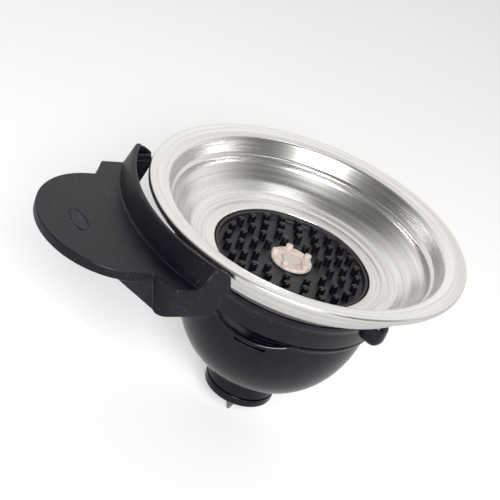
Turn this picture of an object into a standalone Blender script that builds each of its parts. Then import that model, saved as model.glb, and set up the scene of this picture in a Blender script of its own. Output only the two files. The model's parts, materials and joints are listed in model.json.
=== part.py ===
"""Pod holder of a soft-pod coffee machine: steel bowl, pinned drain plate, lift-out sieve,
black holder body with a thumb handle, and a twist-off collector with its spout.

Sizes are millimetres and become metres when a mesh is made. +Z is up along the bowl's axis,
the origin is the centre of the rim's top plane, and the handle points along -Y.
"""

import math

import bmesh
import bpy
from mathutils import Matrix, Vector

MM = 0.001
GAP = 0.3  # between neighbouring pieces that touch
STEPS = 48  # facets round a large turned piece
FINE_STEPS = 24  # facets round a small one
CLEAR = 5.0  # how far a cutter runs past what it cuts

# Steel bowl
RIM_FLARE = 8.9  # from the ledge's wall out to the rim
RIM_WIDTH = 5.9
SHEET = 0.8
LEDGE_RADIUS = 38.6
SKIRT_OUTSET = 1.7  # from the ledge's wall to the skirt's outside
SKIRT_DEPTH = 8.9
WELL_STEP = 3.6  # from the ledge's wall in to the well's edge
FLOOR_STEP = 3.4  # from the well's edge in to the floor's edge
FLOOR_DEPTH = 15.2
FLOOR_RISE = 0.9  # the floor drains inwards by this much
PLATE_HOLE = 23.7

# Pin plate and sieve
PLATE_DROP = 2.0  # from the bowl floor to the plate
PLATE_THICK = 1.4
PLATE_WALL = 1.0
PIN_RADIUS = 1.0
PIN_HEIGHT = 2.9
PIN_RINGS = (
    (0.3547, 4, 47.0, 76.0),
    (0.5043, 12, 30.0, -6.0),
    (0.6752, 18, 20.0, 6.0),
    (0.8462, 24, 15.0, -2.0),
)  # share of the plate's radius, pins, pitch and first angle
SIEVE_RADIUS = 6.2
SIEVE_THICK = 0.9
SIEVE_PEGS = 5
SIEVE_PEG_RADIUS = 1.1
SIEVE_PEG_HEIGHT = 1.3
SIEVE_PEG_START = 20.0
SIEVE_RECESS = 3.1
SIEVE_RECESS_DEPTH = 0.55
MESH_THICK = 0.2
STEM_RADIUS = 4.2
JET_RADIUS = 1.0
NOZZLE_RADIUS = 3.9
NOZZLE_TIP_RADIUS = 2.3
NOZZLE_LENGTH = 6.5
SEAL_SECTION = 1.1

# Holder body
COLLAR_HEIGHT = 7.3  # from the plate's top down to the collar's lower edge
COLLAR_TAPER = 1.0
COLLAR_WALL = 2.0
BODY_FLOOR = 1.8
CRADLE_WALL = 1.6
CRADLE_SPACE = 0.45  # below the bowl
SEAT_WIDTH = 7.1
GASKET_THICK = 0.7
GASKET_WIDTH = 4.0
LUG_ANGLE = 22.0
LUG_REACH = 5.2
LUG_WIDTH = 6.0
LUG_HEIGHT = 8.0
LUG_ROUND = 1.8
NECK_HALF = 9.5
NECK_HEIGHT = 4.0
NECK_STEP = 2.3

# Handle
GUARD_SPACE = 4.1  # from the rim out to the guard wall
GUARD_TOP = 1.5
GUARD_TIP = 1.3  # thickness at the top edge
GUARD_FOOT = 3.05  # thickness at the shelf
HANDLE_HALF = 29.2
HANDLE_BOTTOM = -13.7
SHELF_TOP = -5.0
SHELF_THICK = 2.8
TONGUE_HALF = 22.5
TONGUE_LENGTH = 20.5
TONGUE_OUT = 5.35  # from the guard's foot out to the tongue's widest place
FLARE_OUT = (2.35, -1.65)  # where the flare leaves the tongue and where it reaches the sides
CHIN_OUT = (11.05, 1.6)  # the slope under the tongue, at its top and at its bottom
CHIN_HALF = 21.4
CORNER_START = 2.7  # where the rounding of the bracket's lower corner starts, from the side
CHEEK_THICK = 1.2
CHEEK_TOP = ((-1.9, -0.5), (-1.05, -0.3), (0.95, -0.7), (3.35, -2.2), (4.65, -5.8))
CHEEK_FOOT = ((2.65, 2.1), (1.55, 0.0), (-1.9, 0.0))
HANDLE_WALL = 2.0
BOSS_HALF = 11.0
BOSS_EDGE = 3.9  # from the screws down to the boss's bottom
MARK_OUT = 9.8  # from the tongue's widest place
MARK_HALF = (4.7, 2.1)
MARK_GROOVE = 0.35
PEG_RADIUS = 1.2
PEG_X = 27.3
PEG_Z = -1.9
PEG_SEAT = 1.1  # how deep the peg sits in the guard wall
SCREW_X = 6.0
SCREW_RADIUS = 1.2
SCREW_HEAD = 2.3
SCREW_HEAD_THICK = 1.6
SCREW_LENGTH = 9.0
SLOT_WIDTH = 0.6

# Collector
DOME_INSET = 1.61  # from the collar's outside
DOME_HEIGHT = 32.5
DOME_POWER = 2.29
DOME_WALL = 1.8
DOME_CLEARANCE = 0.4
LIP_INSET = 0.1
SPIGOT_SPACE = 1.8  # from the collar's bore
SPIGOT_WALL = 1.9
SPOUT_RADIUS = 10.7
SPOUT_WALL = 1.5
SPOUT_LENGTH = 3.8
SLEEVE_RADIUS = 10.9
SLEEVE_LIP = 2.9  # below the spout's end
SLEEVE_WALL = 0.9
SLEEVE_LENGTH = 7.2
SCOOP_ANGLE = -43.0
SCOOP_WIDTH = 24.0
SCOOP_DEPTH = 3.0
VENT_WIDTH = 9.5
VENT_HEIGHT = 1.8
VENT_DROP = 5.4  # below the collar
TWIST_TABS = 3
LOCK_HALF_WIDTH = 7.2
TAB_HEIGHT = 0.8
SPLASH_DROP = 10.5  # below the collar
SPLASH_THICK = 1.2
SPLASH_HOLES = 6
SPLASH_HOLE_RADIUS = 3.2
TIP_RADIUS = 1.7
TIP_BULGE = 2.0
TIP_LENGTH = 13.3  # below the spout's end
SPIDER_HEIGHT = 2.0
SPIDER_ARMS = 3
SPIDER_RIM = 0.8
SPIDER_HUB = 1.2
ARM_WIDTH = 1.0

# Sizes and levels that follow from those above
RIM_RADIUS = LEDGE_RADIUS + RIM_FLARE
SKIRT_RADIUS = LEDGE_RADIUS + SKIRT_OUTSET
WELL_RADIUS = LEDGE_RADIUS - WELL_STEP
FLOOR_RADIUS = WELL_RADIUS - FLOOR_STEP
WELL_DEPTH = FLOOR_DEPTH - 3.1
LEDGE_DEPTH = SKIRT_DEPTH - 0.5
FLOOR_UNDER = -FLOOR_DEPTH - SHEET
PLATE_TOP = -FLOOR_DEPTH - PLATE_DROP
PLATE_UNDER = PLATE_TOP - PLATE_THICK
PLATE_RADIUS = PLATE_HOLE - GAP
BODY_FLOOR_TOP = PLATE_UNDER - GAP
BODY_FLOOR_UNDER = BODY_FLOOR_TOP - BODY_FLOOR
SEAT_TOP = FLOOR_UNDER - 2 * GAP - GASKET_THICK
COLLAR_TOP_RADIUS = FLOOR_RADIUS - GAP
COLLAR_RADIUS = COLLAR_TOP_RADIUS - COLLAR_TAPER
COLLAR_INNER = COLLAR_RADIUS - COLLAR_WALL
COLLAR_BOTTOM = PLATE_TOP - COLLAR_HEIGHT
DOME_RADIUS = COLLAR_RADIUS - DOME_INSET
DOME_TOP = COLLAR_BOTTOM - DOME_CLEARANCE
DOME_START = COLLAR_BOTTOM - 0.5
LIP_RADIUS = COLLAR_RADIUS - LIP_INSET
SPIGOT_RADIUS = COLLAR_INNER - SPIGOT_SPACE
SPIGOT_INNER = SPIGOT_RADIUS - SPIGOT_WALL
SEAL_TOP = BODY_FLOOR_UNDER - GAP
SPIGOT_TOP = SEAL_TOP - SEAL_SECTION - GAP
LOCK_REACH = SPIGOT_RADIUS + 2 * GAP
TAB_REACH = COLLAR_INNER - GAP
LOCK_TOP = COLLAR_BOTTOM + TAB_HEIGHT + 0.1
BORE_RADIUS = NOZZLE_RADIUS + SEAL_SECTION + 2 * GAP
SIEVE_UNDER = PLATE_TOP + GAP
SIEVE_TOP = SIEVE_UNDER + SIEVE_THICK
STEM_END = PLATE_UNDER - 2 * GAP
VENT_Z = COLLAR_BOTTOM - VENT_DROP
SPLASH_Z = COLLAR_BOTTOM - SPLASH_DROP
SPOUT_END = DOME_START - DOME_HEIGHT - SPOUT_LENGTH
SPOUT_BORE = SPOUT_RADIUS - SPOUT_WALL
SLEEVE_END = SPOUT_END - SLEEVE_LIP
SLEEVE_BORE = SPOUT_BORE - GAP - SLEEVE_WALL
SPIDER_TOP = SPOUT_END + SPIDER_HEIGHT
TIP_END = SPOUT_END - TIP_LENGTH
GUARD_RADIUS = RIM_RADIUS + GUARD_SPACE
GUARD_OUTER = GUARD_RADIUS + GUARD_FOOT
GUARD_END = -math.sqrt(GUARD_RADIUS**2 - HANDLE_HALF**2)  # the guard's inside, at the handle's sides
TONGUE_START = -GUARD_OUTER - TONGUE_OUT
FLARE_START = -GUARD_OUTER - FLARE_OUT[0]
FLARE_END = -GUARD_OUTER - FLARE_OUT[1]
CHIN_FRONT = -GUARD_OUTER - CHIN_OUT[0]
CHIN_BACK = -GUARD_OUTER - CHIN_OUT[1]
MARK_CENTRE = TONGUE_START - MARK_OUT
NOSE_HALF = TONGUE_HALF - GAP
SHELF_UNDER = SHELF_TOP - SHELF_THICK
NECK_TOP = SEAT_TOP + GASKET_THICK + 2 * GAP + 0.9
NECK_BOTTOM = NECK_TOP - NECK_HEIGHT
SCREW_Z = (NECK_TOP + NECK_BOTTOM) / 2
BOSS_BOTTOM = SCREW_Z - BOSS_EDGE
BOSS_TOP = max(NECK_TOP + HANDLE_WALL, HANDLE_BOTTOM + 0.6)


def clear_scene():
    for obj in list(bpy.data.objects):
        bpy.data.objects.remove(obj, do_unlink=True)


def collection(name, hidden=False):
    made = bpy.data.collections.new(name)
    made.hide_render = hidden
    bpy.context.scene.collection.children.link(made)
    return made


def material(name, colour, roughness, metallic=0.0):
    made = bpy.data.materials.new(name)
    made.use_nodes = True
    shader = made.node_tree.nodes["Principled BSDF"]
    shader.inputs["Base Color"].default_value = (*colour, 1.0)
    shader.inputs["Roughness"].default_value = roughness
    shader.inputs["Metallic"].default_value = metallic
    return made


def add_object(name, mesh, home, finish=None):
    obj = bpy.data.objects.new(name, mesh)
    home.objects.link(obj)
    if finish:
        mesh.materials.append(finish)
    if home is cutters:
        obj.hide_render = True
        obj.display_type = "WIRE"
    return obj


def turned(name, profile, home, finish=None, steps=STEPS, closed=True):
    """A profile of (radius, height) turned about Z; it runs down the outer side."""
    mesh = bpy.data.meshes.new(name)
    points = [(r * MM, 0.0, z * MM) for r, z in profile]
    edges = [(i, i + 1) for i in range(len(points) - 1)]
    if closed:
        edges.append((len(points) - 1, 0))
    mesh.from_pydata(points, edges, [])
    obj = add_object(name, mesh, home, finish)
    screw = obj.modifiers.new("Turn", "SCREW")
    screw.steps = steps
    screw.render_steps = steps
    screw.use_merge_vertices = True
    screw.merge_threshold = 0.00001
    screw.use_smooth_shade = True
    return obj


def extruded(name, outline, low, high, home, finish=None):
    """A closed outline in the XY plane, made solid between two heights."""
    curve = bpy.data.curves.new(name, "CURVE")
    curve.dimensions = "2D"
    curve.fill_mode = "BOTH"
    curve.extrude = (high - low) / 2 * MM
    spline = curve.splines.new("POLY")
    spline.points.add(len(outline) - 1)
    for point, (x, y) in zip(spline.points, outline):
        point.co = (x * MM, y * MM, 0.0, 1.0)
    spline.use_cyclic_u = True
    guide = bpy.data.objects.new(name + "_outline", curve)
    home.objects.link(guide)
    guide.location.z = (high + low) / 2 * MM
    return meshed(guide, name, home, finish)


def meshed(guide, name, home, finish=None):
    """The curve object's solid as a mesh object, with its caps welded."""
    bpy.context.view_layer.update()
    graph = bpy.context.evaluated_depsgraph_get()
    mesh = bpy.data.meshes.new_from_object(guide.evaluated_get(graph))
    mesh.name = name
    work = bmesh.new()
    work.from_mesh(mesh)
    bmesh.ops.remove_doubles(work, verts=work.verts, dist=0.000001)
    bmesh.ops.recalc_face_normals(work, faces=work.faces)
    work.to_mesh(mesh)
    work.free()
    place = guide.matrix_world.copy()
    bpy.data.objects.remove(guide, do_unlink=True)
    obj = add_object(name, mesh, home, finish)
    obj.matrix_world = place
    return obj


def box(name, low, high, home, finish=None, turn=0.0):
    """A box between two corners, turned about Z afterwards by an angle in degrees."""
    size = [(b - a) * MM for a, b in zip(low, high)]
    middle = Vector([(a + b) / 2 * MM for a, b in zip(low, high)])
    work = bmesh.new()
    bmesh.ops.create_cube(work, size=1.0, matrix=Matrix.Translation(middle) @ Matrix.Diagonal((*size, 1.0)))
    mesh = bpy.data.meshes.new(name)
    work.to_mesh(mesh)
    work.free()
    obj = add_object(name, mesh, home, finish)
    obj.rotation_euler.z = math.radians(turn)
    return obj


def rod(name, radius, start, end, home, finish=None, steps=FINE_STEPS):
    """A round bar between two points."""
    a = Vector(start) * MM
    b = Vector(end) * MM
    work = bmesh.new()
    bmesh.ops.create_cone(
        work, cap_ends=True, segments=steps, radius1=radius * MM, radius2=radius * MM, depth=(b - a).length
    )
    mesh = bpy.data.meshes.new(name)
    work.to_mesh(mesh)
    work.free()
    obj = add_object(name, mesh, home, finish)
    obj.rotation_mode = "QUATERNION"
    obj.rotation_quaternion = (b - a).to_track_quat("Z", "Y")
    obj.location = (a + b) / 2
    return obj


def boolean(obj, operation, *others):
    """Adds one exact Boolean for each other object, which becomes a cutter."""
    for other in others:
        other.hide_render = True
        other.display_type = "WIRE"
        step = obj.modifiers.new(operation.title() + " " + other.name, "BOOLEAN")
        step.operation = operation
        step.object = other
    return obj


def bake(obj):
    """Turns the modifiers' result into the object's own mesh."""
    bpy.context.view_layer.update()
    graph = bpy.context.evaluated_depsgraph_get()
    mesh = bpy.data.meshes.new_from_object(obj.evaluated_get(graph))
    mesh.name = obj.name
    obj.modifiers.clear()
    obj.data = mesh
    return obj


def smooth(obj, angle=35.0):
    bake(obj)
    obj.data.shade_smooth()
    obj.data.set_sharp_from_angle(angle=math.radians(angle))
    return obj


def at(radius, angle, z=0.0):
    """The point at a radius and an angle in degrees about Z."""
    turn = math.radians(angle)
    return (radius * math.cos(turn), radius * math.sin(turn), z)


def bowl_inside():
    """The bowl's upper surface, from the floor's hole out to the rim's inner edge."""
    return [
        (PLATE_HOLE, -FLOOR_DEPTH),
        (FLOOR_RADIUS - 0.8, -FLOOR_DEPTH + FLOOR_RISE - 0.1),
        (FLOOR_RADIUS, -FLOOR_DEPTH + FLOOR_RISE + 0.2),
        (WELL_RADIUS - 0.5, -WELL_DEPTH),
        (WELL_RADIUS + 0.2, -WELL_DEPTH + 0.5),
        (LEDGE_RADIUS - 0.5, -LEDGE_DEPTH),
        (LEDGE_RADIUS, -LEDGE_DEPTH + 0.7),
        (LEDGE_RADIUS + 0.2, -LEDGE_DEPTH + 1.9),
        (LEDGE_RADIUS + 1.0, -LEDGE_DEPTH + 2.6),
        (RIM_RADIUS - RIM_WIDTH - 0.3, -1.7),
        (RIM_RADIUS - RIM_WIDTH, -1.15),
    ]


def bowl_underside():
    """The bowl's lower surface, from the skirt's edge in to the floor's hole."""
    return [
        (LEDGE_RADIUS + 0.9, -SKIRT_DEPTH - 0.2),
        (LEDGE_RADIUS + 0.5, -SKIRT_DEPTH),
        (WELL_RADIUS + 0.7, -WELL_DEPTH - 0.2),
        (FLOOR_RADIUS + 0.6, -FLOOR_DEPTH + 0.2),
        (FLOOR_RADIUS - 0.6, -FLOOR_DEPTH - SHEET + FLOOR_RISE),
        (PLATE_HOLE, FLOOR_UNDER),
    ]


def make_bowl():
    rim = [
        (RIM_RADIUS - 3.6, -0.45),
        (RIM_RADIUS - 2.2, -0.1),
        (RIM_RADIUS - 0.9, 0.0),
        (RIM_RADIUS - 0.2, -0.4),
        (RIM_RADIUS, -1.1),
        (RIM_RADIUS - 0.6, -1.9),
        (RIM_RADIUS - 2.0, -2.3),
        (SKIRT_RADIUS + 2.0, -2.5),
        (SKIRT_RADIUS + 1.1, -3.4),
        (SKIRT_RADIUS, -SKIRT_DEPTH + 0.2),
        (SKIRT_RADIUS - 0.2, -SKIRT_DEPTH - 0.2),
    ]
    turned("steel_bowl", rim + bowl_underside() + bowl_inside(), parts, steel)


def make_gasket():
    inner = PLATE_HOLE + 1.8
    outer = inner + GASKET_WIDTH
    top = SEAT_TOP + GAP + GASKET_THICK
    low = SEAT_TOP + GAP
    profile = [(inner, top), (outer, top), (outer, low), (inner, low)]
    turned("bowl_gasket", profile, parts, rubber, steps=FINE_STEPS)


def make_pin_plate():
    hole = STEM_RADIUS + GAP + 0.1
    inner = PLATE_RADIUS - PLATE_WALL
    edge = -FLOOR_DEPTH - GAP
    plate = turned(
        "pin_plate",
        [(hole, PLATE_TOP), (inner, PLATE_TOP), (inner, edge), (PLATE_RADIUS, edge),
         (PLATE_RADIUS, PLATE_UNDER), (hole, PLATE_UNDER)],
        parts,
        black,
    )
    pins = [make_pin(i, k) for i in range(len(PIN_RINGS)) for k in range(PIN_RINGS[i][1])]
    boolean(plate, "UNION", joined("pins", pins))
    smooth(plate)


def make_pin(ring, index):
    share, _, pitch, start = PIN_RINGS[ring]
    radius = max(share * PLATE_RADIUS, SIEVE_RADIUS + PIN_RADIUS + GAP)
    top = PIN_HEIGHT
    shape = [(0.0, top), (0.65 * PIN_RADIUS, top - 0.2), (PIN_RADIUS, top - 0.7), (PIN_RADIUS, -0.5), (0.0, -0.5)]
    pin = turned(f"pin_{ring}_{index}", shape, cutters, steps=6, closed=False)
    pin.location = Vector(at(radius, start + pitch * index, PLATE_TOP)) * MM
    return bake(pin)


def joined(name, objects):
    """Several closed bodies that don't meet, as one mesh for a Boolean."""
    work = bmesh.new()
    bpy.context.view_layer.update()
    for obj in objects:
        obj.data.transform(obj.matrix_world)
        work.from_mesh(obj.data)
        bpy.data.objects.remove(obj, do_unlink=True)
    mesh = bpy.data.meshes.new(name)
    work.to_mesh(mesh)
    work.free()
    return add_object(name, mesh, cutters)


def make_sieve():
    shelf = SIEVE_TOP - SIEVE_RECESS_DEPTH
    disc = turned(
        "sieve_disc",
        [(JET_RADIUS, shelf), (SIEVE_RECESS, shelf), (SIEVE_RECESS, SIEVE_TOP),
         (SIEVE_RADIUS - 0.3, SIEVE_TOP), (SIEVE_RADIUS, SIEVE_TOP - 0.3), (SIEVE_RADIUS, SIEVE_UNDER),
         (STEM_RADIUS, SIEVE_UNDER), (STEM_RADIUS, STEM_END), (JET_RADIUS, STEM_END)],
        parts,
        cream,
        steps=40,
    )
    pegs = []
    for k in range(SIEVE_PEGS):
        x, y, _ = at(SIEVE_RADIUS - 0.9, 360.0 / SIEVE_PEGS * k + SIEVE_PEG_START)
        foot = (x, y, SIEVE_UNDER + 0.1)
        pegs.append(rod(f"sieve_peg_{k}", SIEVE_PEG_RADIUS, foot, (x, y, SIEVE_TOP + SIEVE_PEG_HEIGHT), cutters))
    boolean(disc, "UNION", joined("sieve_pegs", pegs))
    smooth(disc)


def make_sieve_mesh():
    low = SIEVE_TOP - SIEVE_RECESS_DEPTH + GAP
    top = low + MESH_THICK
    edge = SIEVE_RECESS - GAP
    profile = [(0.0, top), (edge, top), (edge, low), (0.0, low)]
    turned("sieve_mesh", profile, parts, mesh_steel, steps=FINE_STEPS, closed=False)


def make_nozzle():
    top = STEM_END - GAP
    end = top - NOZZLE_LENGTH
    profile = [(JET_RADIUS, top), (NOZZLE_RADIUS, top), (NOZZLE_RADIUS, end + 1.5), (NOZZLE_TIP_RADIUS, end),
               (JET_RADIUS, end)]
    turned("jet_nozzle", profile, parts, black, steps=FINE_STEPS)


def make_nozzle_seal():
    inner = NOZZLE_RADIUS + GAP
    outer = inner + SEAL_SECTION
    top = BODY_FLOOR_TOP - 0.2
    low = top - SEAL_SECTION
    cut = 0.3
    turned(
        "nozzle_seal",
        [(inner, top - cut), (inner + cut, top), (outer - cut, top), (outer, top - cut),
         (outer, low + cut), (outer - cut, low), (inner + cut, low), (inner, low + cut)],
        parts,
        rubber,
        steps=FINE_STEPS,
    )


def make_body():
    under = bowl_underside()
    cradle_edge = (LEDGE_RADIUS, -SKIRT_DEPTH - 0.5 - CRADLE_SPACE)
    cradle_bend = (under[2][0], under[2][1] - CRADLE_SPACE)
    cradle_foot = (under[3][0], under[3][1] - CRADLE_SPACE)
    seat_inner = PLATE_RADIUS + GAP + 0.5
    profile = [
        cradle_foot,
        (cradle_foot[0] - 0.3, cradle_foot[1] - CRADLE_WALL),
        (COLLAR_TOP_RADIUS, cradle_foot[1] - CRADLE_WALL - 1.2),
        (COLLAR_RADIUS, COLLAR_BOTTOM),
        (COLLAR_INNER, COLLAR_BOTTOM),
        (COLLAR_INNER, BODY_FLOOR_UNDER),
        (BORE_RADIUS, BODY_FLOOR_UNDER),
        (BORE_RADIUS, BODY_FLOOR_TOP),
        (seat_inner, BODY_FLOOR_TOP),
        (seat_inner, SEAT_TOP),
        (seat_inner + SEAT_WIDTH - 0.6, SEAT_TOP),
        (seat_inner + SEAT_WIDTH, cradle_foot[1] - 0.3),
    ]
    body = turned("holder_body", profile, parts, black)
    room = [(0.0, 0.0), (RIM_RADIUS, 0.0), (RIM_RADIUS, cradle_edge[1] - GAP)]
    room += [(r, z - GAP) for r, z in (cradle_edge, cradle_bend, cradle_foot)]
    room += [(COLLAR_RADIUS, SEAT_TOP - GAP), (0.0, SEAT_TOP - GAP)]
    lugs = make_lugs(turned("bowl_room", room, cutters, closed=False))
    boolean(body, "UNION", make_neck(), *lugs, make_locks())
    boolean(body, "DIFFERENCE", *[screw_bore(side) for side in (-1, 1)])
    smooth(body)


def make_neck():
    """The bar that carries the handle, ending just short of the guard wall."""
    inner_top = FLOOR_RADIUS + 1.6
    inner_low = COLLAR_RADIUS - 0.4
    step = NECK_TOP - NECK_STEP
    side = [(-GUARD_RADIUS, NECK_TOP), (-inner_top, NECK_TOP), (-inner_top + 1.2, step), (-inner_low, step),
            (-inner_low, NECK_BOTTOM), (-GUARD_RADIUS, NECK_BOTTOM)]
    neck = extruded("neck", side, -NECK_HALF, NECK_HALF, cutters)
    # The outline is drawn in (y, z): the first turn lays it down, the second faces it along X.
    neck.matrix_world = Matrix(((0, 0, 1, 0), (1, 0, 0, 0), (0, 1, 0, 0), (0, 0, 0, 1)))
    reach = GUARD_RADIUS - GAP
    profile = [(0.0, 0.0), (reach, 0.0), (reach, NECK_BOTTOM - CLEAR), (0.0, NECK_BOTTOM - CLEAR)]
    limit = turned("neck_limit", profile, cutters, steps=2 * STEPS, closed=False)
    return bake(boolean(neck, "INTERSECT", limit))


def make_lugs(bowl_room):
    lugs = []
    top = NECK_TOP + 1.6
    for k in range(2):
        lug = box(
            f"body_lug_{k}",
            (COLLAR_RADIUS - 1.2, -LUG_WIDTH / 2, top - LUG_HEIGHT),
            (COLLAR_TOP_RADIUS + LUG_REACH, LUG_WIDTH / 2, top),
            cutters,
            turn=LUG_ANGLE + 180.0 * k,
        )
        round_over = lug.modifiers.new("Round", "BEVEL")
        round_over.width = LUG_ROUND * MM
        round_over.segments = 4
        lugs.append(bake(boolean(lug, "DIFFERENCE", bowl_room)))
    return lugs


def twist_sectors(name, inner, outer, top, low, half_width):
    """Three equal pieces of a ring, for the twist lock."""
    profile = [(inner, top), (outer, top), (outer, low), (inner, low)]
    ring = turned(name, profile, cutters)
    keep = []
    for k in range(TWIST_TABS):
        keep.append(box(
            f"{name}_keep_{k}",
            (inner - CLEAR, -half_width, low - CLEAR),
            (outer + CLEAR, half_width, top + CLEAR),
            cutters,
            turn=360.0 / TWIST_TABS * k + 90.0,
        ))
    return bake(boolean(ring, "INTERSECT", joined(name + "_keep", keep)))


def make_locks():
    low = LOCK_TOP - TAB_HEIGHT
    return twist_sectors("body_locks", LOCK_REACH, COLLAR_INNER + 0.8, LOCK_TOP, low, LOCK_HALF_WIDTH)


def screw_bore(side):
    x = side * SCREW_X
    start = -GUARD_OUTER - CLEAR
    end = -GUARD_OUTER + SCREW_LENGTH + GAP
    return rod(f"screw_bore_{side}", SCREW_RADIUS + GAP, (x, start, SCREW_Z), (x, end, SCREW_Z), cutters)


def make_screws():
    for side, word in ((-1, "left"), (1, "right")):
        x = side * SCREW_X
        head = -GUARD_OUTER - GAP
        tail = head + SCREW_LENGTH
        front = head - SCREW_HEAD_THICK
        screw = rod(f"handle_screw_{word}", SCREW_HEAD, (x, front, SCREW_Z), (x, head, SCREW_Z), parts, steel)
        shank = rod(f"shank_{word}", SCREW_RADIUS, (x, head - 0.5, SCREW_Z), (x, tail, SCREW_Z), cutters)
        low = (x - CLEAR, front - CLEAR, SCREW_Z - SLOT_WIDTH / 2)
        high = (x + CLEAR, front + SLOT_WIDTH, SCREW_Z + SLOT_WIDTH / 2)
        slot = box(f"screw_slot_{word}", low, high, cutters)
        boolean(screw, "UNION", shank)
        boolean(screw, "DIFFERENCE", slot)
        smooth(screw)


def tongue_outline():
    """The shelf seen from above: the thumb tongue, its flare, and the sides back to the guard."""
    points = []
    half = TONGUE_HALF
    for k in range(25):
        turn = math.pi + math.pi * k / 24
        points.append((half * math.cos(turn), TONGUE_START + TONGUE_LENGTH * math.sin(turn)))
    wide = HANDLE_HALF - 0.15
    right = [(half, FLARE_START), (wide, FLARE_END), (wide, GUARD_END - GUARD_FOOT - 0.2)]
    left = [(-x, y) for x, y in reversed(right)]
    return points + right + left


def mirrored(right):
    """A right-hand outline, front to back, closed with its left-hand copy."""
    return right + [(-x, y) for x, y in reversed(right)]


def pocket_outline():
    """The hollow under the shelf, seen from above."""
    nose = NOSE_HALF - HANDLE_WALL
    wide = HANDLE_HALF - HANDLE_WALL
    back = GUARD_END + CLEAR
    return mirrored([(nose, CHIN_BACK + HANDLE_WALL), (wide, FLARE_END + HANDLE_WALL), (wide, back)])


def make_block():
    """The bracket under the shelf: flared at its top, rounded at its lower corners."""
    count = 6
    back = GUARD_END - 0.5
    start = Vector((HANDLE_HALF - CORNER_START, CHIN_BACK))
    pull = Vector((HANDLE_HALF, CHIN_BACK))
    end = Vector((HANDLE_HALF, FLARE_END))
    upper = [(CHIN_HALF, CHIN_FRONT)]
    lower = [tuple(start)]
    for k in range(count + 1):
        t = k / count
        upper.append(tuple(Vector((NOSE_HALF, FLARE_START)).lerp(end, t)))
        lower.append(tuple(start * (1 - t) ** 2 + pull * 2 * t * (1 - t) + end * t**2))
    rings = []
    for right, z in ((upper, SHELF_UNDER + 1.4), (upper, SHELF_UNDER), (lower, HANDLE_BOTTOM)):
        rings.append([(x * MM, y * MM, z * MM) for x, y in mirrored([*right, (HANDLE_HALF, back)])])
    size = len(rings[0])
    faces = [list(range(size)), list(range(2 * size, 3 * size))]
    for row in range(2):
        for k in range(size):
            a = row * size + k
            b = row * size + (k + 1) % size
            faces += [(a, b, b + size), (a, b + size, a + size)]
    mesh = bpy.data.meshes.new("handle")
    mesh.from_pydata([point for ring in rings for point in ring], [], faces)
    work = bmesh.new()
    work.from_mesh(mesh)
    bmesh.ops.remove_doubles(work, verts=work.verts, dist=0.000001)
    bmesh.ops.recalc_face_normals(work, faces=work.faces)
    work.to_mesh(mesh)
    work.free()
    return add_object("handle", mesh, parts, black)


def inner_drum(name, radius, half_width, low, high):
    """The round space behind the guard wall, narrowed to leave the cheeks."""
    profile = [(0.0, high), (radius, high), (radius, low), (0.0, low)]
    drum = turned(name, profile, cutters, steps=2 * STEPS, closed=False)
    limit = box(name + "_limit", (-half_width, -radius - CLEAR, low - CLEAR), (half_width, 0.0, high + CLEAR), cutters)
    return bake(boolean(drum, "INTERSECT", limit))


def make_handle():
    low = BOSS_BOTTOM - CLEAR
    block = make_block()
    shelf = extruded("shelf", tongue_outline(), SHELF_UNDER, SHELF_TOP, cutters)
    boss_back = -GUARD_RADIUS + 3.0
    boss = box("screw_boss", (-BOSS_HALF, -GUARD_OUTER, BOSS_BOTTOM), (BOSS_HALF, boss_back, BOSS_TOP), cutters)
    boolean(block, "UNION", shelf, boss)
    boolean(block, "DIFFERENCE", make_pocket())
    behind = inner_drum("behind_guard", GUARD_RADIUS + 0.6, HANDLE_HALF - CHEEK_THICK, low, CLEAR + GUARD_TOP)
    boolean(block, "DIFFERENCE", behind)
    boolean(block, "UNION", make_guard())
    boolean(block, "DIFFERENCE", mark_groove())
    boolean(block, "DIFFERENCE", *[peg_bore(side) for side in (-1, 1)])
    boolean(block, "DIFFERENCE", *[screw_bore_wall(side) for side in (-1, 1)])
    smooth(block)


def make_pocket():
    """The hollow under the shelf, open below, in front of the guard wall."""
    pocket = extruded("pocket", pocket_outline(), BOSS_BOTTOM - CLEAR, SHELF_UNDER, cutters)
    keep = GUARD_OUTER - 0.6
    top = SHELF_UNDER + CLEAR
    low = BOSS_BOTTOM - 2 * CLEAR
    profile = [(0.0, top), (keep, top), (keep, low), (0.0, low)]
    drum = turned("pocket_limit", profile, cutters, steps=2 * STEPS, closed=False)
    return bake(boolean(pocket, "DIFFERENCE", drum))


def make_guard():
    """The curved wall between the thumb and the hot rim, with a cheek at each end."""
    tip = GUARD_RADIUS + GUARD_TIP
    foot = GUARD_OUTER
    profile = [
        (GUARD_RADIUS + 0.3, GUARD_TOP),
        (tip - 0.4, GUARD_TOP),
        (tip, GUARD_TOP - 0.5),
        (foot, SHELF_TOP - 0.2),
        (foot, HANDLE_BOTTOM + 0.02),
        (GUARD_RADIUS, HANDLE_BOTTOM + 0.02),
        (GUARD_RADIUS, GUARD_TOP - 0.4),
    ]
    ring = turned("guard", profile, cutters, steps=2 * STEPS)
    keep = box("guard_keep", (-HANDLE_HALF, -GUARD_OUTER - CLEAR, -30.0), (HANDLE_HALF, GUARD_END + CLEAR, 10.0), cutters)
    guard = bake(boolean(ring, "INTERSECT", keep))
    boolean(guard, "DIFFERENCE", end_slope())
    boolean(guard, "UNION", *[make_cheek(side) for side in (-1, 1)])
    return bake(guard)


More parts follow.
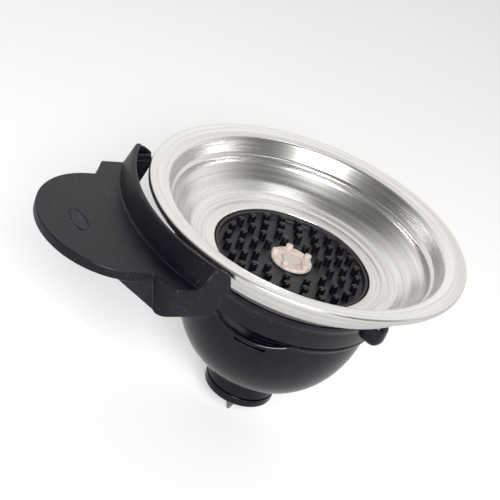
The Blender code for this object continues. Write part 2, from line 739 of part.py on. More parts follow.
def make_cheek(side):
    """The plate that closes the handle at one side; its outline is (y, z)."""
    outline = [(GUARD_END + y, GUARD_TOP + z) for y, z in CHEEK_TOP]
    outline += [(GUARD_END + y, HANDLE_BOTTOM + z) for y, z in CHEEK_FOOT]
    ends = sorted((side * (HANDLE_HALF - CHEEK_THICK), side * HANDLE_HALF))
    cheek = extruded(f"cheek_{side}", outline, *ends, cutters)
    cheek.matrix_world = Matrix(((0, 0, 1, 0), (1, 0, 0, 0), (0, 1, 0, 0), (0, 0, 0, 1))) @ cheek.matrix_world
    return bake_place(cheek)


def bake_place(obj):
    obj.data.transform(obj.matrix_world)
    obj.matrix_world = Matrix.Identity(4)
    return obj


def end_slope():
    """Takes the guard's top edge down at its ends."""
    drop = 2.6
    run = 5.0
    cutter = box("end_slope", (-40.0, 0.0, 0.0), (40.0, 20.0, 10.0), cutters)
    cutter.rotation_euler.x = -math.atan2(drop, run)
    cutter.location = Vector((0.0, GUARD_END - 1.25, GUARD_TOP)) * MM
    return cutter


def mark_groove():
    """A plain oval engraved in the tongue."""
    curve = bpy.data.curves.new("mark", "CURVE")
    curve.dimensions = "3D"
    curve.bevel_depth = MARK_GROOVE * MM
    curve.bevel_resolution = 1
    spline = curve.splines.new("POLY")
    count = 20
    spline.points.add(count - 1)
    for k, point in enumerate(spline.points):
        turn = 2 * math.pi * k / count
        point.co = (MARK_HALF[0] * math.cos(turn) * MM, MARK_HALF[1] * math.sin(turn) * MM, 0.0, 1.0)
    spline.use_cyclic_u = True
    guide = bpy.data.objects.new("mark_guide", curve)
    cutters.objects.link(guide)
    guide.location = Vector((0.0, MARK_CENTRE, SHELF_TOP)) * MM
    return meshed(guide, "mark_groove", cutters)


def peg_wall():
    """Where the pegs' axis meets the guard wall's inside."""
    return -math.sqrt(GUARD_RADIUS**2 - PEG_X**2)


def peg_bore(side):
    x = side * PEG_X
    seat = peg_wall() - PEG_SEAT - GAP
    return rod(f"peg_bore_{side}", PEG_RADIUS + GAP, (x, seat, PEG_Z), (x, GUARD_END + 2 * CLEAR, PEG_Z), cutters)


def screw_bore_wall(side):
    x = side * SCREW_X
    return rod(f"wall_bore_{side}", SCREW_RADIUS + GAP, (x, -GUARD_OUTER - CLEAR, SCREW_Z),
               (x, -GUARD_RADIUS + CLEAR, SCREW_Z), cutters)


def make_pegs():
    inner = math.sqrt((RIM_RADIUS + GAP) ** 2 - (PEG_X - PEG_RADIUS) ** 2)
    seat = peg_wall() - PEG_SEAT
    for side, word in ((-1, "left"), (1, "right")):
        x = side * PEG_X
        peg = rod(f"rim_peg_{word}", PEG_RADIUS, (x, seat, PEG_Z), (x, -inner, PEG_Z), parts, black, steps=16)
        smooth(peg)


def dome_radius(z, inset=0.0):
    """The collector's radius at a height; inset gives its inner surface."""
    drop = (DOME_START - z) / (DOME_HEIGHT - inset)
    return (DOME_RADIUS - inset) * (1.0 - drop**DOME_POWER) ** (1.0 / DOME_POWER)


def dome_level(radius, inset=0.0):
    """The height where the collector has this radius."""
    share = (1.0 - (radius / (DOME_RADIUS - inset)) ** DOME_POWER) ** (1.0 / DOME_POWER)
    return DOME_START - share * (DOME_HEIGHT - inset)


def dome_curve(start, end, count, inset=0.0):
    """Points down the dome, closer together where it turns in."""
    points = []
    for k in range(count):
        z = start + (end - start) * math.sin(math.pi / 2 * k / (count - 1))
        points.append((dome_radius(z, inset), z))
    return points


def make_collector():
    shelf = DOME_TOP - 2.0
    outer_end = dome_level(SPOUT_RADIUS + 0.9)
    inner_end = dome_level(SPOUT_BORE + 0.3, DOME_WALL)
    inner = dome_curve(shelf - 2.0, inner_end, 8, DOME_WALL)
    profile = [
        (SPIGOT_INNER, SPIGOT_TOP),
        (SPIGOT_RADIUS, SPIGOT_TOP),
        (SPIGOT_RADIUS, DOME_TOP),
        (LIP_RADIUS - 0.5, DOME_TOP),
        (LIP_RADIUS, DOME_TOP - 0.5),
        (LIP_RADIUS - 0.3, DOME_TOP - 1.3),
        *dome_curve(DOME_TOP - 2.4, outer_end, 11),
        (SPOUT_RADIUS, outer_end - 1.2),
        (SPOUT_RADIUS, SPOUT_END),
        (SPOUT_BORE, SPOUT_END),
        (SPOUT_BORE, inner_end - 0.8),
        *reversed(inner),
        (SPIGOT_INNER, shelf),
    ]
    dome = turned("collector", profile, parts, black)
    locked_z = LOCK_TOP + GAP + 0.1
    tabs = twist_sectors(
        "collector_tabs", SPIGOT_RADIUS - 0.8, TAB_REACH, locked_z + TAB_HEIGHT, locked_z, LOCK_HALF_WIDTH - 0.7
    )
    boolean(dome, "UNION", tabs)
    boolean(dome, "DIFFERENCE", make_scoop(), make_vent())
    smooth(dome)


def make_scoop():
    """The dip in the collector's lip that a fingertip turns it by."""
    radius = ((SCOOP_WIDTH / 2) ** 2 + SCOOP_DEPTH**2) / (2 * SCOOP_DEPTH)
    z = DOME_TOP - SCOOP_DEPTH + radius
    start = at(SPIGOT_RADIUS + 0.5, SCOOP_ANGLE, z)
    end = at(LIP_RADIUS + CLEAR, SCOOP_ANGLE, z)
    return rod("scoop", radius, start, end, cutters, steps=160)


def make_vent():
    return box(
        "vent",
        (SPIGOT_INNER - 1.0, -VENT_WIDTH / 2, VENT_Z - VENT_HEIGHT / 2),
        (LIP_RADIUS + CLEAR, VENT_WIDTH / 2, VENT_Z + VENT_HEIGHT / 2),
        cutters,
        turn=SCOOP_ANGLE + 1.0,
    )


def make_collector_seal():
    low = SEAL_TOP - SEAL_SECTION
    inner = SPIGOT_INNER + 0.2
    outer = SPIGOT_RADIUS - 0.2
    profile = [(inner, SEAL_TOP), (outer, SEAL_TOP), (outer, low), (inner, low)]
    turned("collector_seal", profile, parts, rubber, steps=FINE_STEPS)


def make_splash_plate():
    top = SPLASH_Z + SPLASH_THICK / 2
    low = SPLASH_Z - SPLASH_THICK / 2
    post_top = STEM_END - GAP - NOZZLE_LENGTH - 2.5
    edge = dome_radius(low, DOME_WALL) - 2 * GAP
    profile = [(0.0, post_top), (0.9, post_top - 0.3), (2.6, top), (edge, top), (edge, low), (0.0, low)]
    plate = turned("splash_plate", profile, parts, black, steps=36, closed=False)
    holes = []
    for k in range(SPLASH_HOLES):
        x, y, _ = at(0.7 * edge, 360.0 / SPLASH_HOLES * k)
        holes.append(rod(f"drain_{k}", SPLASH_HOLE_RADIUS, (x, y, low - CLEAR), (x, y, top + CLEAR), cutters, steps=16))
    boolean(plate, "DIFFERENCE", joined("drains", holes))
    smooth(plate)


def make_sleeve():
    top = SLEEVE_END + SLEEVE_LENGTH
    tube = SLEEVE_BORE + SLEEVE_WALL
    shoulder = SPOUT_END - GAP
    profile = [(SLEEVE_BORE, top), (tube, top), (tube, shoulder), (SLEEVE_RADIUS, shoulder),
               (SLEEVE_RADIUS, SLEEVE_END + 0.3), (SLEEVE_RADIUS - 0.3, SLEEVE_END), (SLEEVE_BORE, SLEEVE_END)]
    turned("spout_sleeve", profile, parts, black, steps=48)


def make_spider():
    low = SPIDER_TOP - SPIDER_HEIGHT
    outer = SLEEVE_BORE - GAP
    hub = TIP_RADIUS + GAP
    ring = turned("tip_spider", [(outer - SPIDER_RIM, SPIDER_TOP), (outer, SPIDER_TOP), (outer, low),
                                (outer - SPIDER_RIM, low)],
                  parts, black, steps=FINE_STEPS)
    centre = turned("spider_hub", [(hub, SPIDER_TOP), (hub + SPIDER_HUB, SPIDER_TOP), (hub + SPIDER_HUB, low), (hub, low)],
                    cutters, steps=FINE_STEPS)
    arms = []
    for k in range(SPIDER_ARMS):
        arms.append(box(f"spider_arm_{k}", (hub + SPIDER_HUB / 2, -ARM_WIDTH / 2, low + 0.2),
                        (outer - SPIDER_RIM / 2, ARM_WIDTH / 2, SPIDER_TOP - 0.2),
                        cutters, turn=360.0 / SPIDER_ARMS * k))
    boolean(ring, "UNION", centre, joined("spider_arms", arms))
    smooth(ring)


def make_tip():
    top = SPIDER_TOP + 1.6
    profile = [(0.0, top), (TIP_RADIUS - 0.3, top), (TIP_RADIUS, top - 0.3), (TIP_RADIUS, TIP_END + 8.1),
               (TIP_BULGE, TIP_END + 6.0), (TIP_BULGE - 0.3, TIP_END + 4.0), (0.4, TIP_END + 0.3), (0.0, TIP_END)]
    turned("drip_tip", profile, parts, satin, steps=20, closed=False)


clear_scene()
parts = collection("pod_holder")
cutters = collection("cutters", hidden=True)
steel = material("steel", (0.62, 0.60, 0.58), 0.25, 1.0)
mesh_steel = material("mesh", (0.55, 0.50, 0.46), 0.5, 0.6)
satin = material("satin", (0.30, 0.30, 0.29), 0.4, 0.6)
black = material("black_plastic", (0.030, 0.030, 0.036), 0.35)
rubber = material("rubber", (0.02, 0.02, 0.02), 0.7)
cream = material("cream_plastic", (0.68, 0.58, 0.50), 0.55)

make_bowl()
make_gasket()
make_pin_plate()
make_sieve()
make_sieve_mesh()
make_nozzle()
make_nozzle_seal()
make_body()
make_handle()
make_screws()
make_pegs()
make_collector()
make_collector_seal()
make_splash_plate()
make_sleeve()
make_spider()
make_tip()
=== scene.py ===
import json
import math

import bmesh
import bpy
from mathutils import Matrix, Vector

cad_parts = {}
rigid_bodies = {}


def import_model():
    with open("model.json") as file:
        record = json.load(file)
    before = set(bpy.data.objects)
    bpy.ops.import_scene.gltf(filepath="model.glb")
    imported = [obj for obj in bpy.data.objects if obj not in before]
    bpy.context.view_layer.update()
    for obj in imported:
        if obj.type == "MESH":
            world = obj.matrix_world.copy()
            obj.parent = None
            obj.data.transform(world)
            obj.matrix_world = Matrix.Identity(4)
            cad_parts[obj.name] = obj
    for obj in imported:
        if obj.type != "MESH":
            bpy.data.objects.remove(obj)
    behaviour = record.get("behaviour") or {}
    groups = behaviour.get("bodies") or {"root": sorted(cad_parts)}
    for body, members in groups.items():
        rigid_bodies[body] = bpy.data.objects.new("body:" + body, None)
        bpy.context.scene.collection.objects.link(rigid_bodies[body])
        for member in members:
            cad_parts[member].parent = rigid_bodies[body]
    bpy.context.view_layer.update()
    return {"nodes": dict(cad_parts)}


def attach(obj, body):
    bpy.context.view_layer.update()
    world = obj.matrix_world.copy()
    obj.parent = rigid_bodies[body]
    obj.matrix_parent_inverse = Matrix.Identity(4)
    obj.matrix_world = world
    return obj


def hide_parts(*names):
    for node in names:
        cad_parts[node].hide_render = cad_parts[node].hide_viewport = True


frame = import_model()
print("frame loaded:", len(frame["nodes"]), "nodes")

mm = 0.001
past = 5.0  # how far a cutting shape reaches beyond what it cuts, in millimetres
cutSteps = 256  # how many flats stand for a circle on those shapes
stageHome = bpy.data.collections.new("stage")
bpy.context.scene.collection.children.link(stageHome)
pieces = bpy.data.collections.new("pieces")
bpy.context.scene.collection.children.link(pieces)
helpers = bpy.data.collections.new("helpers")
bpy.context.scene.collection.children.link(helpers)


camera = {
    "azimuth": 51.0,
    "elevation": 27.77,
    "roll": -23.25,
    "distance": 367.8,
    "frame": 500.0,  # the next three are in parts of this width
    "focal": 1300.0,
    "aimAcross": 61.4,  # where the rim's centre sits, right of the frame's middle
    "aimDown": -36.5,  # and below it
}


def cameraAxes():
    a = math.radians(camera["azimuth"])
    e = math.radians(camera["elevation"])
    back = Vector((math.sin(a) * math.cos(e), -math.cos(a) * math.cos(e), math.sin(e)))
    right = Vector((math.cos(a), math.sin(a), 0.0))
    up = back.cross(right)
    roll = math.radians(camera["roll"])
    acrossAxis = right * math.cos(roll) - up * math.sin(roll)
    upAxis = right * math.sin(roll) + up * math.cos(roll)
    return acrossAxis, upAxis, back


def makeCamera():
    acrossAxis, upAxis, back = cameraAxes()
    toCamera = Matrix((acrossAxis, upAxis, back))
    # the whole view is turned so that the rim's centre falls off the frame's middle
    focal = camera["focal"]
    off = Vector((camera["aimAcross"] / focal, -camera["aimDown"] / focal, -1.0)).normalized()
    turn = Vector((0.0, 0.0, -1.0)).rotation_difference(off).to_matrix()
    toWorld = (turn @ toCamera).transposed()
    data = bpy.data.cameras.new("camera")
    data.sensor_width = 36.0
    data.lens = focal / camera["frame"] * data.sensor_width
    data.clip_start = 0.01
    data.clip_end = 50.0
    obj = bpy.data.objects.new("camera", data)
    stageHome.objects.link(obj)
    place = toWorld.to_4x4()
    place.translation = back * camera["distance"] * mm
    obj.matrix_world = place
    bpy.context.scene.camera = obj


makeCamera()
print("camera set")


class Wire:
    # a node's output that takes part in sums
    def __init__(self, finish, socket):
        self.finish = finish
        self.socket = socket

    def maths(self, operation, *values, clamp=False):
        settings = {"operation": operation, "use_clamp": clamp}
        return self.finish.node("ShaderNodeMath", settings, dict(enumerate(values)))

    def other(self, name):
        return Wire(self.finish, self.socket.node.outputs[name])

    def __add__(self, value):
        return self.maths("ADD", self, value)

    def __radd__(self, value):
        return self.maths("ADD", value, self)

    def __sub__(self, value):
        return self.maths("SUBTRACT", self, value)

    def __rsub__(self, value):
        return self.maths("SUBTRACT", value, self)

    def __mul__(self, value):
        return self.maths("MULTIPLY", self, value)

    def __rmul__(self, value):
        return self.maths("MULTIPLY", value, self)

    def __truediv__(self, value):
        return self.maths("DIVIDE", self, value)

    def __rtruediv__(self, value):
        return self.maths("DIVIDE", value, self)

    def __pow__(self, value):
        return self.maths("POWER", self, value)

    def clamp(self):
        return self.maths("ADD", self, 0.0, clamp=True)

    def steps(self, low, high):
        # 0 below low, 1 above high
        settings = {"interpolation_type": "SMOOTHSTEP"}
        sockets = {"Value": self, "From Min": low, "From Max": high}
        return self.finish.node("ShaderNodeMapRange", settings, sockets)


class Finish:
    # a material built from nodes, or the nodes of the room
    def __init__(self, name, tree=None):
        if tree:
            self.tree = tree
            return
        self.material = bpy.data.materials.new(name)
        self.material.use_nodes = True
        self.tree = self.material.node_tree
        self.shader = self.tree.nodes["Principled BSDF"]

    def node(self, kind, settings=None, sockets=None, out=None):
        made = self.tree.nodes.new(kind)
        for key, value in (settings or {}).items():
            setattr(made, key, value)
        self.feed(made, sockets or {})
        shown = [socket for socket in made.outputs if socket.enabled]
        return Wire(self, made.outputs[out] if out else shown[0])

    def feed(self, made, sockets):
        for key, value in sockets.items():
            target = made.inputs[key]
            if isinstance(value, Wire):
                self.tree.links.new(value.socket, target)
            else:
                target.default_value = value

    def surface(self, sockets):
        self.feed(self.shader, sockets)

    def place(self):
        # the point in millimetres
        coords = self.node("ShaderNodeTexCoord", out="Object")
        return self.node("ShaderNodeVectorMath", {"operation": "SCALE"}, {0: coords, "Scale": 1000.0})

    def noise(self, vector, scale, detail=2.0, rough=0.5):
        sockets = {"Vector": vector, "Scale": scale, "Detail": detail, "Roughness": rough}
        return self.node("ShaderNodeTexNoise", {}, sockets, "Fac")

    def blend(self, factor, first, second):
        made = self.tree.nodes.new("ShaderNodeMix")
        made.data_type = "RGBA"
        self.feed(made, {0: factor, 6: (*first, 1.0) if isinstance(first, tuple) else first,
                         7: (*second, 1.0) if isinstance(second, tuple) else second})
        return Wire(self, made.outputs[2])

    def bump(self, height, distance):
        # raised by a distance in millimetres
        return self.node("ShaderNodeBump", {}, {"Height": height, "Distance": distance * mm, "Strength": 1.0})

    def edges(self, radius, gain):
        # 1 along the outer edges, for a painted edge highlight together with the wear where handling rubs
        # them
        soft = self.node("ShaderNodeBevel", {"samples": 6}, {"Radius": radius * mm})
        hard = self.node("ShaderNodeNewGeometry", out="Normal")
        same = self.node("ShaderNodeVectorMath", {"operation": "DOT_PRODUCT"}, {0: soft, 1: hard}, "Value")
        return ((1 - same) * gain).clamp()


steelLook = {
    "dark": (0.70, 0.684, 0.668),
    "light": (0.92, 0.910, 0.896),
    "roughness": 0.23,
    "roughnessSpread": 0.09,
    "streakDepth": 0.005,
    # how often each pattern changes, round the axis and down the profile
    "broad": (0.7, 0.5),
    "streak": (0.6, 2.6),
    "fine": (1.6, 6.0),
}


def turnedPlace(finish, around, along):
    # coordinates that run round the axis slowly and down the profile quickly
    x = finish.node("ShaderNodeSeparateXYZ", {}, {0: finish.place()})
    y, z = x.other("Y"), x.other("Z")
    r = (x * x + y * y) ** 0.5
    return finish.node("ShaderNodeCombineXYZ", {}, {0: x / r * around, 1: y / r * around, 2: (r + z) * along})


def makeSteel():
    look = steelLook
    finish = Finish("satin_steel")
    broad = finish.noise(turnedPlace(finish, *look["broad"]), 1.0, 3.0, 0.55)
    streak = finish.noise(turnedPlace(finish, *look["streak"]), 1.0, 4.0, 0.62)
    fine = finish.noise(turnedPlace(finish, *look["fine"]), 1.0, 3.0, 0.6)
    tone = (broad * 0.55 + streak * 0.45).steps(0.36, 0.66)
    finish.surface({
        "Base Color": finish.blend(tone, look["dark"], look["light"]),
        "Metallic": 1.0,
        "Roughness": look["roughness"] + streak * look["roughnessSpread"],
        "Normal": finish.bump(streak * 0.6 + fine * 0.4, look["streakDepth"]),
    })
    return finish.material


blackLook = {
    "base": (0.0016, 0.0018, 0.0056),
    "dusty": (0.0040, 0.0046, 0.0105),
    "wornAndSheen": (0.16, 0.17, 0.19),
    "specular": 0.34,
    "dustScale": 0.09,
    "grainScale": 4.5,
    "speckScale": 0.34,
    "speckStrength": 0.28,
    "scratches": ((0.5, 0.13), (2.0, 0.10)),  # direction and how long they run
    "scratchStrength": 0.22,
    # the lightened outer edges are a painted edge highlight as well as rubbed wear
    "sheenAndRubWidth": 0.35,
    "sheenAndRubStrength": 0.85,
}


def makeBlack(name, roughness, grain, wearAndSheen=1.0, base=None, dusty=None):
    look = blackLook
    finish = Finish(name)
    place = finish.place()
    patches = finish.noise(place, look["dustScale"], 4.0, 0.6)
    grainNoise = finish.noise(place, look["grainScale"], 2.0, 0.5)
    colour = finish.blend(patches.steps(0.35, 0.75) * 0.7, base or look["base"], dusty or look["dusty"])
    spots = {"Vector": place, "Scale": look["speckScale"], "Randomness": 1.0}
    specks = finish.node("ShaderNodeTexVoronoi", {"feature": "F1"}, spots)
    colour = finish.blend((1 - specks.steps(0.035, 0.075)) * look["speckStrength"], colour, look["wornAndSheen"])
    for angle, spread in look["scratches"]:
        sockets = {"Vector": place, "Rotation": (0.0, 0.0, angle), "Scale": (spread, 3.2, 0.8)}
        line = finish.noise(finish.node("ShaderNodeMapping", {}, sockets), 0.8, 1.0, 0.4).steps(0.735, 0.76)
        colour = finish.blend(line * (look["scratchStrength"] * wearAndSheen), colour, look["wornAndSheen"])
    # outer edges lightened: painted edge highlight together with rubbed wear
    edgeSheenAndRub = finish.edges(look["sheenAndRubWidth"], 3.2) * finish.noise(place, 0.35, 3.0).steps(0.36, 0.66)
    colour = finish.blend(edgeSheenAndRub * (look["sheenAndRubStrength"] * wearAndSheen), colour, look["wornAndSheen"])
    finish.surface({
        "Base Color": colour,
        "Roughness": (roughness - 0.06) + patches * 0.16,
        "Normal": finish.bump(grainNoise, grain),
        "Specular IOR Level": look["specular"],
    })
    return finish.material


creamLook = {"shade": (0.52, 0.43, 0.385), "light": (0.66, 0.575, 0.53), "grain": 0.07}
weaveLook = {"pitch": 0.55, "gap": (0.46, 0.39, 0.35), "wire": (0.68, 0.60, 0.555), "depth": 0.06}
rubberLook = {"shade": (0.010, 0.010, 0.011), "light": (0.028, 0.028, 0.030), "grain": 0.01}
tipLook = {"shade": (0.10, 0.10, 0.10), "light": (0.30, 0.30, 0.29), "grain": 0.006}


def makeCream():
    finish = Finish("cream_moulded")
    place = finish.place()
    patches = finish.noise(place, 0.55, 3.0)
    finish.surface({
        "Base Color": finish.blend(patches.steps(0.3, 0.7), creamLook["shade"], creamLook["light"]),
        "Roughness": 0.42 + patches * 0.15,
        "Normal": finish.bump(finish.noise(place, 2.6, 3.0), creamLook["grain"]),
        "Subsurface Weight": 0.12,
        "Subsurface Scale": 0.002,
    })
    return finish.material


def makeWeave():
    # fine woven wire, over and under
    finish = Finish("sieve_weave")
    x = finish.node("ShaderNodeSeparateXYZ", {}, {0: finish.place()})
    y = x.other("Y")
    wires = []
    for value in (x, y):
        wires.append(value.maths("SINE", value * (2 * math.pi / weaveLook["pitch"])))
    pattern = (wires[0] * wires[1]) * 0.5 + 0.5
    finish.surface({
        "Base Color": finish.blend(pattern, weaveLook["gap"], weaveLook["wire"]),
        "Metallic": 0.05,
        "Roughness": 0.42 + pattern * 0.1,
        "Normal": finish.bump(pattern, weaveLook["depth"]),
    })
    return finish.material


def makeRubber():
    finish = Finish("seal_rubber")
    place = finish.place()
    patches = finish.noise(place, 0.4, 3.0)
    finish.surface({
        "Base Color": finish.blend(patches, rubberLook["shade"], rubberLook["light"]),
        "Roughness": 0.58 + patches * 0.2,
        "Normal": finish.bump(finish.noise(place, 6.0, 2.0), rubberLook["grain"]),
    })
    return finish.material


def makeTipGrey():
    finish = Finish("tip_grey")
    place = finish.place()
    rings = finish.noise(turnedPlace(finish, 0.8, 3.0), 1.0, 3.0)
    finish.surface({
        "Base Color": finish.blend(rings, tipLook["shade"], tipLook["light"]),
        "Metallic": 0.35,
        "Roughness": 0.28 + rings * 0.15,
        "Normal": finish.bump(finish.noise(place, 5.0, 2.0), tipLook["grain"]),
    })
    return finish.material


plateTone = {"base": (0.016, 0.016, 0.020), "dusty": (0.030, 0.031, 0.036)}
pinTone = {"base": (0.003, 0.003, 0.005), "dusty": (0.006, 0.006, 0.008)}

steel = makeSteel()
handleBlack = makeBlack("handle_black", 0.36, 0.010)
bodyBlack = makeBlack("body_black", 0.24, 0.005, wearAndSheen=0.6)
domeBlack = makeBlack("dome_black", 0.17, 0.002, wearAndSheen=0.4)
plateBlack = makeBlack("plate_black", 0.42, 0.010, wearAndSheen=0.5, **plateTone)
pinBlack = makeBlack("pin_black", 0.26, 0.004, wearAndSheen=0.0, **pinTone)
cream = makeCream()
weave = makeWeave()
rubber = makeRubber()
tipGrey = makeTipGrey()
print("finishes made")


def addMesh(name, mesh, home=pieces, finish=None):
    obj = bpy.data.objects.new(name, mesh)
    home.objects.link(obj)
    if finish:
        mesh.materials.append(finish)
    if home is helpers:
        obj.hide_render = True
    return obj


def closedMesh(name, verts, faces, home=helpers, finish=None):
    mesh = bpy.data.meshes.new(name)
    mesh.from_pydata([tuple(v) for v in verts], [], faces)
    work = bmesh.new()
    work.from_mesh(mesh)
    bmesh.ops.remove_doubles(work, verts=work.verts, dist=0.000001)
    bmesh.ops.recalc_face_normals(work, faces=work.faces)
    work.to_mesh(mesh)
    work.free()
    return addMesh(name, mesh, home, finish)


def fillet(points, arc=5, closed=True):
    # (radius, height, rounding) corners become short arcs
    made = []
    count = len(points)
    for i, (r, z, size) in enumerate(points):
        here = Vector((r, z))
        if size == 0 or (not closed and i in (0, count - 1)):
            made.append((r, z))
            continue
        before = Vector(points[i - 1][:2]) - here
        after = Vector(points[(i + 1) % count][:2]) - here
        reach = min(size, before.length * 0.49, after.length * 0.49)
        start = here + before.normalized() * reach
        end = here + after.normalized() * reach
        for k in range(arc + 1):
            t = k / arc
            made.append(tuple(start * (1 - t) ** 2 + here * 2 * t * (1 - t) + end * t * t))
    return made


def turned(name, profile, home=pieces, finish=None, steps=192, closed=True):
    verts, faces = [], []
    rows = []
    for r, z in profile:
        if r < 1e-6:
            rows.append([len(verts)] * steps)
            verts.append((0.0, 0.0, z * mm))
            continue
        rows.append(list(range(len(verts), len(verts) + steps)))
        for k in range(steps):
            t = 2 * math.pi * k / steps
            verts.append((r * math.cos(t) * mm, r * math.sin(t) * mm, z * mm))
    pairs = list(zip(rows, rows[1:]))
    if closed:
        pairs.append((rows[-1], rows[0]))
    for upper, lower in pairs:
        for k in range(steps):
            n = (k + 1) % steps
            corners = []
            for v in (upper[k], lower[k], lower[n], upper[n]):
                if v not in corners:
                    corners.append(v)
            if len(corners) > 2:
                faces.append(corners)
    mesh = bpy.data.meshes.new(name)
    mesh.from_pydata(verts, [], faces)
    mesh.validate()
    return addMesh(name, mesh, home, finish)


def extruded(name, outline, low, high, home=helpers, finish=None):
    count = len(outline)
    verts = [(x * mm, y * mm, z * mm) for z in (low, high) for x, y in outline]
    faces = [list(range(count))[::-1], list(range(count, 2 * count))]
    for k in range(count):
        n = (k + 1) % count
        faces.append([k, n, count + n, count + k])
    return closedMesh(name, verts, faces, home, finish)


def turnedUp(obj):
    # an outline drawn as (y, z) stands up, with its thickness along x
    obj.data.transform(Matrix(((0, 0, 1, 0), (1, 0, 0, 0), (0, 1, 0, 0), (0, 0, 0, 1))))
    return obj


def box(name, low, high, home=helpers, turn=0.0):
    size = [(b - a) * mm for a, b in zip(low, high)]
    middle = Vector([(a + b) / 2 * mm for a, b in zip(low, high)])
    work = bmesh.new()
    place = Matrix.Rotation(math.radians(turn), 4, "Z") @ Matrix.Translation(middle)
    bmesh.ops.create_cube(work, size=1.0, matrix=place @ Matrix.Diagonal((*size, 1.0)))
    mesh = bpy.data.meshes.new(name)
    work.to_mesh(mesh)
    work.free()
    return addMesh(name, mesh, home)


def rod(name, radius, start, end, home=helpers, finish=None, steps=48, rounding=0.0):
    # a round bar between two points, with its ends rounded over
    a, b = Vector(start) * mm, Vector(end) * mm
    length = (b - a).length / mm
    corners = [(0, 0, 0), (radius, 0, rounding), (radius, length, rounding), (0, length, 0)]
    profile = fillet(corners, 4, closed=False)
    obj = turned(name, profile[::-1], home, finish, steps, closed=False)
    obj.data.transform(Matrix.Translation(a) @ (b - a).to_track_quat("Z", "Y").to_matrix().to_4x4())
    return obj


def bake(obj):
    bpy.context.view_layer.update()
    graph = bpy.context.evaluated_depsgraph_get()
    mesh = bpy.data.meshes.new_from_object(obj.evaluated_get(graph))
    obj.modifiers.clear()
    obj.data = mesh
    obj.data.transform(obj.matrix_world)
    obj.matrix_world = Matrix.Identity(4)
    return obj


def boolean(obj, operation, *others):
    for other in others:
        step = obj.modifiers.new(operation, "BOOLEAN")
        step.operation = operation
        step.object = other
    bake(obj)
    for other in others:
        bpy.data.objects.remove(other, do_unlink=True)
    return obj


def joined(name, objects, home=helpers):
    work = bmesh.new()
    for obj in objects:
        work.from_mesh(obj.data)
    finishes = list(objects[0].data.materials)
    for obj in objects:
        bpy.data.objects.remove(obj, do_unlink=True)
    mesh = bpy.data.meshes.new(name)
    work.to_mesh(mesh)
    work.free()
    for finish in finishes:
        mesh.materials.append(finish)
    return addMesh(name, mesh, home)


def soften(obj, width, angle=32.0, segments=3):
    bevel = obj.modifiers.new("Soft edges", "BEVEL")
    bevel.width = width * mm
    bevel.segments = segments
    bevel.limit_method = "ANGLE"
    bevel.angle_limit = math.radians(angle)
    bevel.miter_outer = "MITER_ARC"
    bevel.harden_normals = False
    return bake(obj)


def smooth(obj, angle=32.0):
    obj.data.shade_smooth()
    obj.data.set_sharp_from_angle(angle=math.radians(angle))
    return obj


def flatFaces(obj):
    # large flat faces stay flat beside their rounded edges
    steady = obj.modifiers.new("Flat faces", "WEIGHTED_NORMAL")
    steady.mode = "FACE_AREA"
    steady.weight = 100
    steady.keep_sharp = True
    return obj


def settle(obj, body, slot, *nodes):
    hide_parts(*nodes)
    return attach(obj, body)


def at(radius, angle, z=0.0):
    t = math.radians(angle)
    return (radius * math.cos(t), radius * math.sin(t), z)


bowl = {
    "rimRadius": 47.5,
    "rimInner": 41.6,
    "skirtRadius": 40.3,
    "skirtEnd": -9.1,
    "skirtInner": 39.3,
    "grooveRadius": 27.6,  # the ring pressed into the floor
    "grooveHalf": 0.9,
    "grooveDepth": 0.16,
    "floorHole": 23.7,
    "floor": -15.2,
    "floorSlope": 0.9 / 7.9,
    "thick": 0.8,
    # radius, height and rounding of the corners of the side, from below and from within
    "under": ((35.7, -12.3, 0.8), (32.2, -15.05, 1.0), (31.0, -15.1, 0.8)),
    "within": ((31.3, -14.3, 0.9), (34.9, -11.8, 0.9), (38.4, -8.0, 0.9), (38.75, -6.2, 0.8),
               (39.7, -5.6, 0.7), (41.25, -1.7, 0.7)),
    "steps": 288,
}


def makeBowl():
    b = bowl
    g, half = b["grooveRadius"], b["grooveHalf"]
    ground = [b["floor"] + b["floorSlope"] * (r - b["floorHole"]) for r in (g - half, g, g + half)]
    profile = fillet([
        (b["rimInner"] + 2.0, -0.50, 1.5), (b["rimRadius"] - 1.5, 0.0, 1.1), (b["rimRadius"], 0.0, 0.9),
        (b["rimRadius"], -2.25, 1.2), (b["rimRadius"] - 2.2, -2.3, 0.6), (b["skirtRadius"] + 1.6, -2.5, 1.2),
        (b["skirtRadius"], b["skirtEnd"] + 0.2, 0.2), (b["skirtRadius"] - 0.3, b["skirtEnd"], 0.2),
        (b["skirtInner"], b["skirtEnd"] + 0.1, 0.5), *b["under"],
        (b["floorHole"], b["floor"] - b["thick"], 0.15), (b["floorHole"], b["floor"], 0.35),
        (g - half, ground[0], 0.5), (g, ground[1] - b["grooveDepth"], 0.6), (g + half, ground[2], 0.5),
        *b["within"], (b["rimInner"] + 0.2, -1.0, 0.5),
    ], 6)
    obj = turned("bowl_shell", profile, pieces, steel, b["steps"])
    smooth(obj, 50.0)
    return settle(obj, "holder", "bowl_steel", "steel_bowl")


makeBowl()
print("bowl made")


plate = {
    "top": -17.2,
    "thick": 1.4,
    "radius": 23.4,
    "hole": 4.6,
    "wall": 1.0,
    "wallTop": -15.5,
    "pinRadius": 1.08,
    "pinHeight": 2.9,
    "pinRound": 0.75,
    # radius of each ring of pins, how many, degrees between them and where the first stands
    "rings": ((8.3, 4, 47.0, 76.0), (11.8, 12, 30.0, -6.0), (15.8, 18, 20.0, 6.0), (19.8, 24, 15.0, -2.0)),
}


